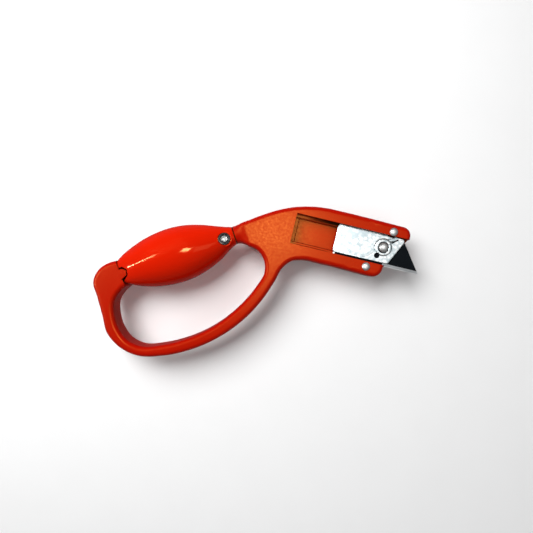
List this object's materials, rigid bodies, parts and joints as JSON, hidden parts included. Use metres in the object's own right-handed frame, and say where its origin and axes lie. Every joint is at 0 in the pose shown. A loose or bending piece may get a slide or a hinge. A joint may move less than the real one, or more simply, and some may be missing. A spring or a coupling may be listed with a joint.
{
  "type": "retractable utility knife with finger guard",
  "caption": "Guarded hand knife: a D-loop frame with a spindle grip, and a trapezoid blade in a sliding sheet carrier with a thumb button.",
  "frame": {"origin": "bottom centre of the whole knife's box, on the ground that the grip's back touches", "axes": "+X along the blade's slide towards the blade's tip, +Y towards the back of the tool, +Z out of the face that shows the blade carrier"},
  "size_m": [0.2156, 0.129, 0.0352],
  "materials": {
    "frame_plastic": "orange-red moulded plastic, satin gloss",
    "grip_plastic": "orange-red moulded plastic, high gloss",
    "zinc_sheet": "bright zinc-plated pressed steel sheet, faint mottle",
    "blade_steel": "blackened carbon steel with a ground bright edge",
    "bright_steel": "bright nickel-plated steel",
    "spring_steel": "blued spring steel strip",
    "black_steel": "black oxide steel",
    "brass": "turned brass"
  },
  "bodies": {
    "frame": {"guard_frame": "frame_plastic", "grip_back_shell": "grip_plastic", "grip_nut": "brass", "upper_stop_rivet": "bright_steel", "upper_rivet_washer": "zinc_sheet", "lower_stop_rivet": "bright_steel", "lower_rivet_washer": "zinc_sheet", "spare_blade_1": "blade_steel", "spare_blade_2": "blade_steel", "spare_blade_3": "blade_steel"},
    "carrier": {"blade_carrier": "zinc_sheet", "slide_plate": "zinc_sheet", "blade": "blade_steel", "lock_leaf": "spring_steel", "leaf_rivet": "bright_steel"},
    "button": {"lock_button": "bright_steel", "button_clip": "spring_steel"},
    "cover": {"grip_cover": "grip_plastic", "screw_washer": "black_steel"},
    "screw": {"grip_screw": "bright_steel"}
  },
  "joints": [
    {"name": "blade_slide", "type": "slide", "parent": "frame", "child": "carrier", "axis": [1, 0, 0], "range_m": [-0.029, 0]},
    {"name": "button_press", "type": "slide", "parent": "carrier", "child": "button", "axis": [0, 0, -1], "range_m": [0, 0.0012], "stiffness_N_per_m": 1500, "deforming": ["lock_leaf"]},
    {"name": "grip_cover_lift", "type": "slide", "parent": "frame", "child": "cover", "axis": [0, 0, 1], "range_m": [0, 0.025]},
    {"name": "grip_screw_turn", "type": "hinge", "parent": "cover", "child": "screw", "pos_m": [-0.02701, 0.02723, 0.0176], "axis": [0, 0, 1], "continuous": true}
  ]
}
